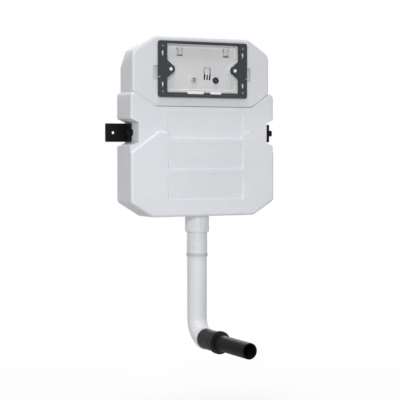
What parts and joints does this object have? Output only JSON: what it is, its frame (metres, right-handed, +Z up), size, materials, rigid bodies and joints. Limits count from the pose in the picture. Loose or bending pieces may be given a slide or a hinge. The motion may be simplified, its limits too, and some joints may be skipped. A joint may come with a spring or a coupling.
{
  "type": "concealed toilet cistern",
  "caption": "Slim wall cistern in a white insulating jacket, with a dark front access frame, side wall brackets, dual-flush rods and levers, and a flush bend with a black outlet connector.",
  "frame": {"origin": "midway between the two wall fixing holes, on the wall plane", "axes": "+Z up, +Y into the wall, +X to the right as seen from the front"},
  "size_m": [0.4325, 0.29, 0.712],
  "materials": {
    "jacket": "fine moulded foam",
    "tank": "blow moulded",
    "frame": "satin",
    "steel": "zinc plated",
    "cover": "satin",
    "latch": "satin",
    "white_plastic": "satin",
    "blue_plastic": "satin",
    "dark_plastic": "satin",
    "rubber": "matt",
    "pipe": "satin",
    "black_pipe": "satin",
    "bracket": "black powder coat"
  },
  "bodies": {
    "cistern": {"jacket_front": "jacket", "jacket_back": "jacket", "tank": "tank", "access_frame": "frame", "frame_screws": "steel", "lever_bracket": "white_plastic", "lever_pin": "steel", "valve_cage": "white_plastic", "fill_valve": "white_plastic", "inlet_washer": "rubber", "inlet_backnut": "white_plastic", "tail_washer": "rubber", "union_nut": "pipe", "pipe_seal": "rubber", "flush_bend": "pipe", "connector_sleeve": "rubber", "connector_pipe": "black_pipe", "bracket_left": "bracket", "bracket_right": "bracket", "bracket_screws": "steel"},
    "cover": {"cover_plate": "cover", "cover_hooks": "white_plastic", "cover_latches": "latch"},
    "half_rod": {"push_rod_half": "white_plastic"},
    "full_rod": {"push_rod_full": "blue_plastic"},
    "half_lever": {"lever_half": "dark_plastic"},
    "full_lever": {"lever_full": "dark_plastic"},
    "half_lift": {"half_flush_sleeve": "blue_plastic"},
    "full_lift": {"overflow_tube": "white_plastic", "valve_seal": "rubber", "full_flush_rod": "white_plastic"},
    "float": {"float_cup": "white_plastic", "float_rod": "white_plastic"},
    "float_lever": {"float_arm": "blue_plastic"}
  },
  "joints": [
    {"name": "cover_pull", "type": "slide", "parent": "cistern", "child": "cover", "axis": [0, -1, 0], "range_m": [0, 0.06]},
    {"name": "full_lift_slide", "type": "slide", "parent": "cistern", "child": "full_lift", "axis": [0, 0, 1], "range_m": [0, 0.0115]},
    {"name": "full_lever_pivot", "type": "hinge", "parent": "cistern", "child": "full_lever", "pos_m": [0, -0.051, 0.136], "axis": [1, 0, 0], "range_deg": [0, 28.7]},
    {"name": "full_rod_push", "type": "slide", "parent": "cistern", "child": "full_rod", "axis": [0, 1, 0], "range_m": [0, 0.0081]},
    {"name": "half_lift_slide", "type": "slide", "parent": "cistern", "child": "half_lift", "axis": [0, 0, 1], "range_m": [0, 0.0115]},
    {"name": "half_lever_pivot", "type": "hinge", "parent": "cistern", "child": "half_lever", "pos_m": [0, -0.051, 0.136], "axis": [1, 0, 0], "range_deg": [0, 28.7]},
    {"name": "half_rod_push", "type": "slide", "parent": "cistern", "child": "half_rod", "axis": [0, 1, 0], "range_m": [0, 0.0081]},
    {"name": "float_rise", "type": "slide", "parent": "cistern", "child": "float", "axis": [0, 0, 1], "range_m": [0, 0.0075]},
    {"name": "float_lever_pivot", "type": "hinge", "parent": "cistern", "child": "float_lever", "pos_m": [0.14, -0.04225, 0.086], "axis": [0, 1, 0], "range_deg": [0, 19.6]}
  ],
  "couplings": [
    {"joint": "full_lever_pivot", "follows": "full_lift_slide", "rad_per_m": 43.478},
    {"joint": "full_rod_push", "follows": "full_lift_slide", "ratio": 0.69565},
    {"joint": "half_lever_pivot", "follows": "half_lift_slide", "rad_per_m": 43.478},
    {"joint": "half_rod_push", "follows": "half_lift_slide", "ratio": 0.69565},
    {"joint": "float_lever_pivot", "follows": "float_rise", "rad_per_m": 45.455}
  ]
}
